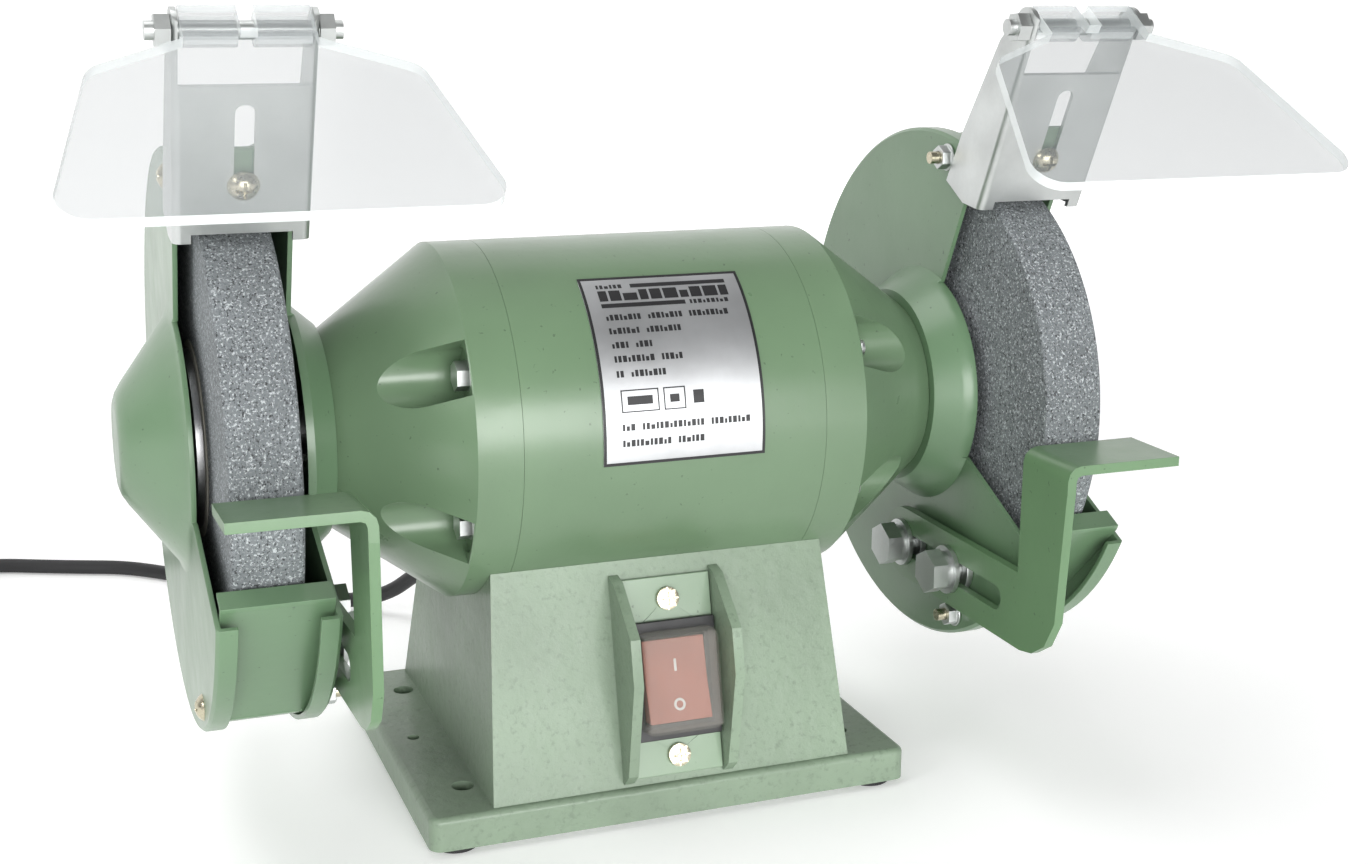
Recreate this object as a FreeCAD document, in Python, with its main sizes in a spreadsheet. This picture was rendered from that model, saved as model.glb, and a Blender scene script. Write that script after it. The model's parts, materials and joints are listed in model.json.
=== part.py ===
# Bench grinder: two 150 mm wheels on one motor shaft, on a cast pedestal.
# Frame: X along the shaft, to the right of a person at the switch. Front is -Y. Z is up, with the underside
# of the cast base at zero. The shaft axis is in the plane Y = 0.
import FreeCAD, Part
import math
import os
import re
import Sketcher

V = FreeCAD.Vector
X_AXIS = V(1, 0, 0)
Y_AXIS = V(0, 1, 0)
Z_AXIS = V(0, 0, 1)
LEFT = "left"
RIGHT = "right"

# ---------------------------------------------------------------- driving dimensions, millimetres and degrees
SIZES = {
    # motor
    "shaft_height": 119.1,
    "motor_radius": 56.2,
    "motor_wall": 4.0,
    "shell_half": 48.6,
    "cone_start": 62.5,
    "bell_end": 98.9,
    "neck_radius": 29.8,
    "bolt_circle": 47.0,
    "bolt_angle": 29.0,
    "pocket_radius": 8.5,
    "bearing_bore": 7.5,
    "bearing_radius": 17.5,
    "bearing_inner_side": 84.0,
    "bearing_width": 11.0,
    "core_half": 22.0,
    "stator_bore": 26.0,
    "rotor_radius": 25.6,
    # wheels and what clamps them
    "wheel_radius": 75.0,
    "wheel_inner_face": 115.7,
    "wheel_width": 20.0,
    "arbor_radius": 6.35,
    "blotter_radius": 30.0,
    "blotter_thickness": 0.5,
    "flange_radius": 27.5,
    "flange_inner_width": 7.0,
    "flange_outer_width": 5.0,
    "nut_height": 9.0,
    "shaft_end": 154.0,
    # wheel guards
    "guard_tilt": 25.0,
    "guard_radius": 87.8,
    "guard_turn": 4.0,
    "right_guard_face": 110.4,
    "left_guard_face": 107.4,
    "guard_half_width": 17.1,
    "sheet": 1.5,
    "rim_width": 6.0,
    "hub_ring_radius": 39.5,
    "dish_radius": 33.0,
    "bulge_rise": 17.5,
    "bulge_top_radius": 17.0,
    "opening_top_edge": 3.5,
    "opening_low_edge": 2.0,
    "band_radius": 85.7,
    "band_sheet": 1.2,
    "lip_rise": 2.5,
    "lip_front": 84.2,
    "lip_depth": 7.4,
    "chord_end_ahead": 64.2,
    "chord_end_below": 55.8,
    "tab_top": 104.0,
    "guard_screw_circle": 81.0,
    "guard_screw_radius": 2.0,
    # eye shields and their brackets
    "bracket_stand_off": 1.8,
    "web_front": 8.5,
    "web_top": 123.8,
    "web_notch": 78.3,
    "web_bottom": 75.4,
    "bracket_screw_at": 93.6,
    "slot_half_width": 2.7,
    "slot_top": 115.6,
    "hinge_along": 137.9,
    "hinge_ahead": 4.2,
    "hinge_pin_radius": 2.5,
    "ear_radius": 6.0,
    "shield_angle": 56.0,
    "shield_thickness": 3.0,
    "shield_offset": 2.7,
    "shield_length": 78.0,
    "shield_shoulder": 23.0,
    "shield_neck": 11.0,
    "shield_neck_half": 17.0,
    "shield_shoulder_half": 41.5,
    "shield_bottom_half": 54.5,
    "knuckle_radius": 4.5,
    "knuckle_length": 14.8,
    # tool rests
    "rest_stand_off": 5.5,
    "rest_thickness": 3.0,
    "rest_table_width": 39.0,
    "rest_back": 79.8,
    "rest_front": 105.0,
    "rest_top": 115.5,
    "arm_height": 62.5,
    "arm_half_height": 12.4,
    "rest_bolt_back": 4.0,
    "rest_bolt_front": 36.6,
    "rest_slot_front": 66.5,
    "rest_slot_half": 4.15,
    # base casting
    "base_half_width": 79.5,
    "base_front": 58.8,
    "base_back": 66.7,
    "base_thickness": 10.6,
    "foot_half_width": 59.5,
    "foot_front": 56.5,
    "foot_back": 64.5,
    "top_half_width": 54.7,
    "top_front": 38.5,
    "top_back": 42.0,
    "top_level": 84.0,
    "casting_wall": 5.0,
    "bolt_half_x": 64.3,
    "bolt_front_y": 37.6,
    "bolt_back_y": 45.4,
    "bolt_hole_radius": 3.5,
    "pin_hole_x": 70.3,
    "foot_pad_height": 2.0,
    # switch, in the plane of the leaning front face
    "switch_x": 0.5,
    "fin_inner": 15.0,
    "fin_thickness": 3.2,
    "switch_level": 43.0,
    "bezel_half_width": 14.5,
    "bezel_half_height": 18.5,
    "bezel_front": 2.2,
    "rocker_half_width": 10.3,
    "rocker_half_height": 13.2,
    # cord
    "cord_radius": 3.0,
    "gland_x": 25.0,
    "gland_level": 20.5,
}

doc = FreeCAD.newDocument("bench_grinder")
dims = doc.addObject("Spreadsheet::Sheet", "dims")
for row, (alias, number) in enumerate(SIZES.items(), start=1):
    dims.set("A%d" % row, alias)
    dims.set("B%d" % row, str(number))
    dims.setAlias("B%d" % row, alias)
doc.recompute()

WORD = re.compile(r"[a-z][a-z_]*")
TERM = re.compile(r"([+-]?)\s*([a-z][a-z_]*|[0-9.]+)")
counter = {}


def size(alias):
    """Return a driving dimension from the sheet."""
    return float(dims.get(alias))


def amount(text):
    """Return the number that a sum such as "sheet + 2" stands for."""
    total = 0.0
    for sign, term in TERM.findall(str(text)):
        number = size(term) if term[0].isalpha() else float(term)
        total += -number if sign == "-" else number
    return total


def formula(text):
    """Return the same sum as an expression on the sheet's cells."""
    return WORD.sub(lambda found: "dims." + found.group(0), str(text))


def minus(text):
    """Return the same sum with every sign changed."""
    return "0 - " + text.replace(" - ", " ~ ").replace(" + ", " - ").replace(" ~ ", " + ")


def fresh(stem):
    """Return an object name that is not used yet."""
    counter[stem] = counter.get(stem, 0) + 1
    return "%s_%d" % (stem, counter[stem])


def bind(thing, **properties):
    """Bind each property to a sum of driving dimensions."""
    for name, text in properties.items():
        thing.setExpression(name, formula(text))
    return thing


def place(thing, x=0, y=0, z=0, axis=X_AXIS, angle=0.0):
    """Turn an object about an axis and bind where its origin goes."""
    thing.Placement = FreeCAD.Placement(V(amount(x), amount(y), amount(z)), FreeCAD.Rotation(axis, angle))
    for letter, text in (("x", x), ("y", y), ("z", z)):
        thing.setExpression(".Placement.Base." + letter, formula(text))
    return thing


# ---------------------------------------------------------------- building blocks
def box(x, y, z, at=(0, 0, 0), axis=X_AXIS, angle=0.0):
    """Box from its corner, with sizes x, y, z."""
    made = doc.addObject("Part::Box", fresh("box"))
    bind(made, Length=x, Width=y, Height=z)
    return place(made, *at, axis=axis, angle=angle)


def rod(radius, length, at=(0, 0, 0), along="X"):
    """Cylinder that starts at a point and runs along +X, +Y or +Z."""
    made = doc.addObject("Part::Cylinder", fresh("rod"))
    bind(made, Radius=radius, Height=length)
    axis, angle = {"X": (Y_AXIS, 90), "Y": (X_AXIS, -90), "Z": (Z_AXIS, 0)}[along]
    return place(made, *at, axis=axis, angle=angle)


def taper(low_radius, high_radius, height, at):
    """Upright cone with its tip cut off, from the middle of its lower face."""
    made = doc.addObject("Part::Cone", fresh("taper"))
    bind(made, Radius1=low_radius, Radius2=high_radius, Height=height)
    return place(made, *at)


def hexagon(across, height, at=(0, 0, 0), along="X"):
    """Hexagonal prism, given its size across the corners."""
    made = doc.addObject("Part::Prism", fresh("hexagon"))
    made.Polygon = 6
    made.Circumradius = across / 2
    bind(made, Height=height)
    axis, angle = {"X": (Y_AXIS, 90), "Y": (X_AXIS, -90), "Z": (Z_AXIS, 0)}[along]
    return place(made, *at, axis=axis, angle=angle)


def fuse(*pieces):
    made = doc.addObject("Part::MultiFuse", fresh("fuse"))
    made.Shapes = list(pieces)
    made.Refine = True
    return made


def cut(base, *tools):
    made = doc.addObject("Part::Cut", fresh("cut"))
    made.Base = base
    made.Tool = tools[0] if len(tools) == 1 else fuse(*tools)
    made.Refine = True
    return made


def common(first, second):
    made = doc.addObject("Part::MultiCommon", fresh("common"))
    made.Shapes = [first, second]
    return made


def group(*pieces):
    """Several separate solids of one kind in one object."""
    made = doc.addObject("Part::Compound", fresh("group"))
    made.Links = list(pieces)
    return made


def mirror(piece):
    """The same piece on the other side of the plane X = 0."""
    made = doc.addObject("Part::Mirroring", fresh("mirror"))
    made.Source = piece
    made.Normal = X_AXIS
    return made


def both_sides(*pieces):
    """One group with the pieces of the right head and their mirror images."""
    return group(*pieces, *[mirror(piece) for piece in pieces])


def turned_guard(side, piece):
    """A piece that belongs to a guard. The left guard is turned a little further up about the shaft axis."""
    if side == RIGHT:
        return piece
    holder = group(piece)
    centre = V(0, 0, size("shaft_height"))
    holder.Placement = FreeCAD.Placement(V(0, 0, 0), FreeCAD.Rotation(X_AXIS, -size("guard_turn")), centre)
    return holder


def faces(side):
    """Sums for a guard's face towards the motor, its middle and its outer face."""
    face = side + "_guard_face"
    return face, face + " + guard_half_width", face + " + guard_half_width + guard_half_width"


def one_per_head(make_one):
    """One group with what make_one draws for each head, the left one mirrored into place."""
    return group(make_one(RIGHT), mirror(make_one(LEFT)))


def turn_in_guard_frame(thing):
    """Place something drawn upright about the shaft axis in the leaning frame of the guards."""
    thing.Placement = FreeCAD.Placement(V(0, 0, size("shaft_height")),
                                        FreeCAD.Rotation(X_AXIS, size("guard_tilt")))
    thing.setExpression(".Placement.Base.z", "dims.shaft_height")
    thing.setExpression(".Placement.Rotation.Angle", "dims.guard_tilt")
    return thing


def round_edges(piece, radius, wanted):
    """Round the edges of a piece that the test function picks."""
    doc.recompute()
    made = doc.addObject("Part::Fillet", fresh("fillet"))
    made.Base = piece
    edges = [index for index, edge in enumerate(piece.Shape.Edges, start=1) if wanted(edge)]
    made.Edges = [(index, radius, radius) for index in edges]
    return made


def outline(body, plane, points):
    """Closed straight-sided sketch on one of the body's origin planes. Each point is two sums."""
    sketch = body.newObject("Sketcher::SketchObject", fresh("sketch"))
    planes = [feature for feature in body.Origin.OriginFeatures if feature.Role == plane]
    sketch.AttachmentSupport = [(planes[0], "")]
    sketch.MapMode = "FlatFace"
    corners = [V(amount(u), amount(v), 0) for u, v in points]
    count = len(corners)
    for index in range(count):
        sketch.addGeometry(Part.LineSegment(corners[index], corners[(index + 1) % count]))
    for index in range(count):
        sketch.addConstraint(Sketcher.Constraint("Coincident", index, 2, (index + 1) % count, 1))
        for kind, text in zip(("DistanceX", "DistanceY"), points[index]):
            number = sketch.addConstraint(Sketcher.Constraint(kind, -1, 1, index, 1, amount(text)))
            name = "%s_%d" % (kind, index)
            sketch.renameConstraint(number, name)
            sketch.setExpression("Constraints." + name, formula(text))
    return sketch


def turned(points, full_round=True):
    """Body turned about the shaft axis. Each point is (place along X, radius)."""
    body = doc.addObject("PartDesign::Body", fresh("turned"))
    sketch = outline(body, "XZ_Plane", points)
    revolution = body.newObject("PartDesign::Revolution", fresh("revolution"))
    revolution.Profile = sketch
    revolution.ReferenceAxis = (sketch, ["H_Axis"])
    revolution.Angle = 360
    body.Tip = revolution
    return place(body, z="shaft_height")


def slab(points, x_from, thickness):
    """Body with an outline of (Y, Z) points, from one X to that plus its thickness."""
    body = doc.addObject("PartDesign::Body", fresh("slab"))
    sketch = outline(body, "YZ_Plane", points)
    pad = body.newObject("PartDesign::Pad", fresh("pad"))
    pad.Profile = sketch
    bind(pad, Length=thickness)
    body.Tip = pad
    return place(body, x=x_from)


def profile_along_y(points, y_from, depth):
    """Body with an outline of (X, Z) points, from one Y towards +Y."""
    body = doc.addObject("PartDesign::Body", fresh("profile"))
    sketch = outline(body, "XZ_Plane", points)
    pad = body.newObject("PartDesign::Pad", fresh("pad"))
    pad.Profile = sketch
    pad.Reversed = True
    bind(pad, Length=depth)
    body.Tip = pad
    return place(body, y=y_from)


NODES = {}


def node(name, piece):
    """Name a finished sub-part."""
    piece.Label = name
    NODES[name] = piece
    return piece


def head_node(side, name, piece):
    """Name a sub-part of one head. It is drawn on the right and mirrored for the left."""
    return node(side + "_" + name, mirror(piece) if side == LEFT else piece)


# ---------------------------------------------------------------- base
def wedge(low, high, level_low, level_high):
    """Tapered block. low and high are (half width, front, back) at the two levels."""
    made = doc.addObject("Part::Wedge", fresh("wedge"))
    bind(made, Ymin=level_low, Ymax=level_high,
         Xmin=minus(low[0]), Xmax=low[0], Zmin=minus(low[2]), Zmax=low[1],
         X2min=minus(high[0]), X2max=high[0], Z2min=minus(high[2]), Z2max=high[1])
    made.Placement = FreeCAD.Placement(V(0, 0, 0), FreeCAD.Rotation(X_AXIS, 90))
    return made


FACE_LEAN = math.degrees(math.atan2(size("foot_front") - size("top_front"),
                                    size("top_level") - size("base_thickness")))


def release(thing):
    """Drop the bound place of a piece that is then placed as a whole."""
    for letter in "xyz":
        thing.setExpression(".Placement.Base." + letter, None)
    return thing


def on_face(thing, x=0.0, up=0.0, out=0.0):
    """Place something on the leaning front face: x across, up along the face, out from it."""
    lean = math.radians(FACE_LEAN)
    foot = V(size("switch_x"), -size("foot_front"), size("base_thickness"))
    along = V(0, math.sin(lean), math.cos(lean))
    normal = V(0, -math.cos(lean), math.sin(lean))
    spot = foot + X_AXIS * x + along * up + normal * out
    release(thing).Placement = FreeCAD.Placement(spot, FreeCAD.Rotation(X_AXIS, -FACE_LEAN))
    return thing


SWITCH_SCREW_LEVELS = (8.5, 57.5)


def into_face(radius, level):
    """Round tool square to the leaning front face, for a screw at a level up that face."""
    tool = on_face(rod(radius, "17"), up=level, out=5.0)
    tool.Placement = FreeCAD.Placement(tool.Placement.Base, FreeCAD.Rotation(X_AXIS, -FACE_LEAN - 90))
    return tool


def vertical(edge):
    first, last = edge.Vertexes[0].Point, edge.Vertexes[-1].Point
    return abs(first.x - last.x) < 0.01 and abs(first.y - last.y) < 0.01


def stand_on_rear(thing, out, drawn_along):
    """Stand a piece square on the rear face of the pedestal, where the cord leaves, so far out of it."""
    lean = math.atan2(size("foot_back") - size("top_back"), size("top_level") - size("base_thickness"))
    outward = V(0, math.cos(lean), math.sin(lean))
    back = size("foot_back") - (size("gland_level") - size("base_thickness")) * math.tan(lean)
    spot = V(-size("gland_x"), back, size("gland_level"))
    release(thing).Placement = FreeCAD.Placement(spot + outward * out, FreeCAD.Rotation(drawn_along, outward))
    return thing


def make_base():
    plate = round_edges(box("base_half_width + base_half_width", "base_front + base_back", "base_thickness",
                            at=("0 - base_half_width", "0 - base_front", 0)), 4.0, vertical)
    plate = round_edges(plate, 2.0,
                        lambda edge: min(v.Point.z for v in edge.Vertexes) > size("base_thickness") - 0.01)
    pedestal = wedge(("foot_half_width", "foot_front", "foot_back"),
                     ("top_half_width", "top_front", "top_back"),
                     "base_thickness - 1", "top_level")
    hollow = wedge(("foot_half_width - casting_wall", "foot_front - casting_wall",
                    "foot_back - casting_wall"),
                   ("top_half_width - casting_wall", "top_front - casting_wall", "top_back - casting_wall"),
                   "0 - 1", "top_level")
    saddle = rod("motor_radius + 0.05", "200", at=("0 - 100", 0, "shaft_height"))
    saddle_back = rod("motor_radius + casting_wall", "200", at=("0 - 100", 0, "shaft_height"))
    fin_outline = [("0 - 41", "75"), ("0 - 46", "74"), ("0 - 62", "61"), ("0 - 65.5", "47"),
                   ("0 - 61", "16"), ("0 - 57", "12"), ("0 - 50", "12")]
    left_fin = slab(fin_outline, "switch_x - fin_inner - fin_thickness", "fin_thickness")
    right_fin = slab(fin_outline, "switch_x + fin_inner", "fin_thickness")
    solid = cut(fuse(plate, pedestal, left_fin, right_fin), saddle)
    holes = [rod("bolt_hole_radius", "30", at=(x, y, "0 - 5"), along="Z")
             for x in ("bolt_half_x", "0 - bolt_half_x") for y in ("0 - bolt_front_y", "bolt_back_y")]
    holes += [rod("2", "30", at=(x, "3.9", "0 - 5"), along="Z") for x in ("pin_hole_x", "0 - pin_hole_x")]
    wire_hole = rod("9", "60", at=(0, 0, "30"), along="Z")
    switch_hole = on_face(box("24", "12", "32"), x=-12.0,
                          up=size("switch_level") - size("base_thickness") - 16.0,
                          out=2.0)
    switch_hole_clear = on_face(box("24", "12", "32"), x=-12.0,
                                up=size("switch_level") - size("base_thickness") - 16.0, out=-6.0)
    gland_hole = doc.addObject("Part::Cylinder", fresh("rod"))
    bind(gland_hole, Radius="6", Height="20")
    stand_on_rear(gland_hole, -12.0, Z_AXIS)
    recess = box("foot_half_width + foot_half_width - 2", "foot_front + foot_back - 2", "2.5",
                 at=("1 - foot_half_width", "1 - foot_front", "0 - 1"))
    posts = [rod("4.5", "25", at=(x, y, "1.5"), along="Z") for x in ("50", "0 - 50") for y in ("0 - 46",
                                                                                               "54")]
    post_holes = [rod("1.6", "14", at=(x, y, "0 - 1"), along="Z") for x in ("50",
                                                                            "0 - 50") for y in ("0 - 46",
                                                                                                "54")]
    mount_holes = [rod("2.6", "30", at=(x, y, "55"), along="Z") for x in ("36",
                                                                          "0 - 36") for y in ("0 - 20", "20")]
    screw_holes = [into_face("1.55", level) for level in SWITCH_SCREW_LEVELS]
    shell = cut(solid, cut(hollow, saddle_back), *holes, wire_hole, switch_hole, switch_hole_clear,
                gland_hole, recess,
                *screw_holes)
    node("base_pedestal", cut(fuse(shell, *posts), *post_holes, *mount_holes))
    cover = box("foot_half_width + foot_half_width - 3", "foot_front + foot_back - 3", "1.2",
                at=("1.5 - foot_half_width", "1.5 - foot_front", 0))
    cover_holes = [taper("3.1", "1.7", "1.2", at=(x, y, 0)) for x in ("50", "0 - 50") for y in ("0 - 46",
                                                                                                "54")]
    node("base_bottom_plate", cut(cover, *cover_holes))
    screws = []
    for x in ("50", "0 - 50"):
        for y in ("0 - 46", "54"):
            head = taper("2.9", "1.55", "1.1", at=(x, y, "0.08"))
            screws.append(fuse(head, rod("1.5", "10", at=(x, y, "0.9"), along="Z")))
    node("bottom_plate_screws", group(*screws))
    feet = [cut(rod("7", "foot_pad_height", at=(x, y, "0 - foot_pad_height"), along="Z"),
                rod("2", "1", at=(x, y, "0 - foot_pad_height"), along="Z"))
            for x in ("70", "0 - 70") for y in ("0 - 50", "57.5")]
    node("rubber_feet", group(*feet))


def make_switch():
    up = size("switch_level") - size("base_thickness")
    plate = on_face(box("29.4", "1.5", "62"), x=-14.7, up=2.5, out=1.55)
    window = on_face(box("23", "8", "31.5"), x=-11.5, up=up - 15.75, out=4.0)
    plate_holes = [into_face("1.7", level) for level in SWITCH_SCREW_LEVELS]
    node("switch_plate", cut(plate, window, *plate_holes))
    screws = []
    for level in SWITCH_SCREW_LEVELS:
        head = doc.addObject("Part::Cylinder", fresh("rod"))
        bind(head, Radius="3.6", Height="1.6")
        shank = doc.addObject("Part::Cylinder", fresh("rod"))
        bind(shank, Radius="1.5", Height="7")
        cross_one = doc.addObject("Part::Box", fresh("box"))
        bind(cross_one, Length="4", Width="0.8", Height="1")
        cross_two = doc.addObject("Part::Box", fresh("box"))
        bind(cross_two, Length="0.8", Width="4", Height="1")
        head.Placement.Base = V(0, 0, 0)
        shank.Placement.Base = V(0, 0, -6.9)
        cross_one.Placement.Base = V(-2, -0.4, 0.9)
        cross_two.Placement.Base = V(-0.4, -2, 0.9)
        screw = cut(fuse(head, shank), cross_one, cross_two)
        on_face(screw, up=level, out=1.6)
        screw.Placement = FreeCAD.Placement(screw.Placement.Base, FreeCAD.Rotation(X_AXIS, 90 - FACE_LEAN))
        screws.append(screw)
    node("switch_plate_screws", group(*screws))
    wide, tall = "bezel_half_width + bezel_half_width", "bezel_half_height + bezel_half_height"
    bezel = on_face(box(wide, "bezel_front", tall), x=-size("bezel_half_width"),
                    up=up - size("bezel_half_height"), out=1.6 + size("bezel_front"))
    barrel = on_face(box("22", "20", "30"), x=-11.0, up=up - 15.0, out=2.0)
    pocket = on_face(box("rocker_half_width + rocker_half_width + 0.6", "12",
                         "rocker_half_height + rocker_half_height + 0.6"),
                     x=-size("rocker_half_width") - 0.3, up=up - size("rocker_half_height") - 0.3, out=4.5)
    node("switch_body", cut(fuse(bezel, barrel), pocket))
    # The rocker is a shallow V seen from the side, turned about its own middle axis.
    rocker_outline = [("0 - rocker_half_height + 0.9", "0 - 2"), ("0 - rocker_half_height + 0.4", "5.5"),
                      ("0", "3.2"), ("rocker_half_height - 0.4", "2.4"), ("rocker_half_height - 0.9",
                                                                          "0 - 3.5"),
                      ("0", "0 - 5")]
    body = doc.addObject("PartDesign::Body", fresh("rocker"))
    sketch = outline(body, "YZ_Plane", rocker_outline)
    pad = body.newObject("PartDesign::Pad", fresh("pad"))
    pad.Profile = sketch
    pad.Midplane = True
    bind(pad, Length="rocker_half_width + rocker_half_width")
    body.Tip = pad
    on_face(body, up=up, out=1.8)
    body.Placement = FreeCAD.Placement(body.Placement.Base, FreeCAD.Rotation(X_AXIS, 90 - FACE_LEAN))
    node("switch_rocker", body)
    hood = on_face(box("26", "8.6", "31.8"), x=-13.0, up=up - 15.9, out=1.65 + size("bezel_front") + 8.6)
    hood = round_edges(hood, 3.0, lambda edge: True)
    inner = on_face(box("23.6", "9", "29.4"), x=-11.8, up=up - 14.7, out=1.65 + size("bezel_front") + 7.4)
    node("switch_dust_cover", cut(hood, inner))


# ---------------------------------------------------------------- motor
def around_motor(make_one):
    """One piece at each of the four through bolts. make_one takes the Y and Z of the bolt."""
    pieces = []
    for side in (1, -1):
        for height in (1, -1):
            angle = math.radians(size("bolt_angle"))
            y = side * size("bolt_circle") * math.cos(angle)
            z = height * size("bolt_circle") * math.sin(angle)
            pieces.append(make_one("%s %.4f" % ("0 +" if y > 0 else "0 -", abs(y)),
                                   "shaft_height %s %.4f" % ("+" if z > 0 else "-", abs(z))))
    return pieces


def pocket_mouths():
    """The four boxes that open the bolt pockets outwards, each turned to face away from the shaft."""
    mouths = []
    circle, half = size("bolt_circle"), size("pocket_radius")
    for turn in (size("bolt_angle"), 180 - size("bolt_angle"), 180 + size("bolt_angle"),
                 360 - size("bolt_angle")):
        angle = math.radians(turn)
        y = circle * math.cos(angle) - half * math.sin(angle)
        z = circle * math.sin(angle) + half * math.cos(angle)
        mouths.append(box("40", "pocket_radius + pocket_radius", "14",
                          at=("cone_start + 0.4", "0 + %.4f" % y if y > 0 else "0 - %.4f" % -y,
                              "shaft_height + %.4f" % z if z > 0 else "shaft_height - %.4f" % -z),
                          angle=turn - 90))
    return mouths


def make_motor():
    inner = "motor_radius - motor_wall"
    shell = turned([("0 - shell_half", inner), ("0 - shell_half", "motor_radius"),
                    ("shell_half", "motor_radius"), ("shell_half", inner)])
    shell_holes = [rod("2.2", "12", at=(x, y, "58"), along="Z") for x in ("36",
                                                                          "0 - 36") for y in ("0 - 20", "20")]
    node("motor_shell", cut(shell, rod("8", "20", at=(0, 0, "55"), along="Z"), *shell_holes))
    for side in (LEFT, RIGHT):
        solid = turned([("shell_half + 0.1", "0.01"), ("shell_half + 0.1", "motor_radius"),
                        ("cone_start", "motor_radius"), ("bell_end - 0.2", "neck_radius"),
                        ("bell_end", "neck_radius - 0.3"), ("bell_end", "0.01")])
        cavity = turned([("shell_half", "0.01"), ("shell_half", inner), ("cone_start - 2.2", inner),
                         ("bearing_inner_side + 4", "32"), ("bearing_inner_side + 4", "23"),
                         ("bearing_inner_side", "23"), ("bearing_inner_side", "0.01")])
        bosses = around_motor(lambda y, z: rod("10.5", "40", at=("cone_start - 6", y, z)))
        pockets = around_motor(lambda y, z: rod("pocket_radius", "40", at=("cone_start - 1", y, z)))
        drills = around_motor(lambda y, z: rod("2.7", "20", at=("shell_half", y, z)))
        bearing_seat = rod("bearing_radius", "bearing_width + 0.5",
                           at=("bearing_inner_side - 0.5", 0, "shaft_height"))
        shaft_hole = rod("12", "30", at=("bearing_inner_side", 0, "shaft_height"))
        screw_holes = [rod("2.1", "12", at=("bell_end - 9", y, z)) for y, z in hub_screw_places()]
        bell = cut(solid, cut(cavity, *bosses), *pockets, *pocket_mouths(), *drills,
                   bearing_seat, shaft_hole, *screw_holes)
        head_node(side, "end_bell", bell)
    core = turned([("0 - core_half", "stator_bore"), ("0 - core_half", inner + " - 0.1"),
                   ("core_half", inner + " - 0.1"), ("core_half", "stator_bore")])
    node("stator_core", cut(core, *around_motor(lambda y, z: rod("3", "60", at=("0 - 30", y, z)))))
    winding = turned([("core_half + 0.2", "29"), ("core_half + 0.2", "42"), ("core_half + 6", "42.5"),
                      ("core_half + 13", "40"), ("core_half + 15", "36"), ("core_half + 13", "31")])
    node("stator_windings", both_sides(winding))

    def through_bolt(y, z):
        return fuse(rod("2.5", "cone_start + cone_start + 6", at=("0 - cone_start - 1", y, z)),
                    hexagon(9.2, "4", at=("0 - cone_start - 3", y, z)),
                    hexagon(9.2, "4", at=("cone_start - 0.8", y, z)),
                    rod("4.8", "1", at=("0 - cone_start + 0.9", y, z)),
                    rod("4.8", "1", at=("cone_start - 1.9", y, z)))
    node("motor_through_bolts", group(*around_motor(through_bolt)))
    mount_screws = []
    for x in ("36", "0 - 36"):
        for y in ("0 - 20", "20"):
            mount_screws.append(fuse(rod("2.1", "16", at=(x, y, "55.5"), along="Z"),
                                     hexagon(8, "3", at=(x, y, "52"), along="Z"),
                                     rod("4.5", "0.6", at=(x, y, "55"), along="Z")))
    node("motor_mount_screws", group(*mount_screws))
    label = turned([("0 - 24.3", "motor_radius + 0.05"), ("0 - 24.3", "motor_radius + 0.45"),
                    ("27.7", "motor_radius + 0.45"), ("27.7", "motor_radius + 0.05")])
    label_window = slab([("0", "0"), ("0 - 90", "0 - 7.4"), ("0 - 90", "140"), ("0 - 1", "1.6")], "0 - 30",
                        "60")
    node("nameplate", common(label, place(label_window, x="0 - 30", z="shaft_height")))
    capacitor = turned([("0 - 22", "0.01"), ("0 - 22", "13"), ("22", "13"), ("22", "0.01")])
    node("run_capacitor", place(capacitor, y="28", z="30"))
    block = box("30", "14", "12", at=("0 - 15", "0 - 22", "10"))
    grooves = [box("1", "16", "5", at=("%.1f - 15" % (7.5 * step), "0 - 23", "18")) for step in (1, 2, 3)]
    node("terminal_block", cut(block, *grooves))


def make_bearings():
    start = "bearing_inner_side"
    end = "bearing_inner_side + bearing_width"
    outer = turned([(start, "14.6"), (start, "bearing_radius"), (end, "bearing_radius"), (end, "14.6")])
    inner = turned([(start, "bearing_bore"), (start, "10.4"), (end, "10.4"), (end, "bearing_bore")])
    balls, grooves = [], []
    for index in range(8):
        angle = 2 * math.pi * index / 8
        ball = doc.addObject("Part::Sphere", fresh("ball"))
        ball.Radius = 2.9
        spot = V(size("bearing_inner_side") + size("bearing_width") / 2, 12.5 * math.cos(angle),
                 size("shaft_height") + 12.5 * math.sin(angle))
        ball.Placement.Base = spot
        balls.append(ball)
    groove = doc.addObject("Part::Torus", fresh("groove"))
    groove.Radius1 = 12.5
    groove.Radius2 = 2.95
    place(groove, x="bearing_inner_side + 5.5", z="shaft_height", axis=Y_AXIS, angle=90)
    grooves.append(groove)
    node("bearing_outer_races", both_sides(cut(outer, *grooves)))
    node("bearing_inner_races", both_sides(cut(inner, *grooves)))
    node("bearing_balls", both_sides(*balls))


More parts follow.
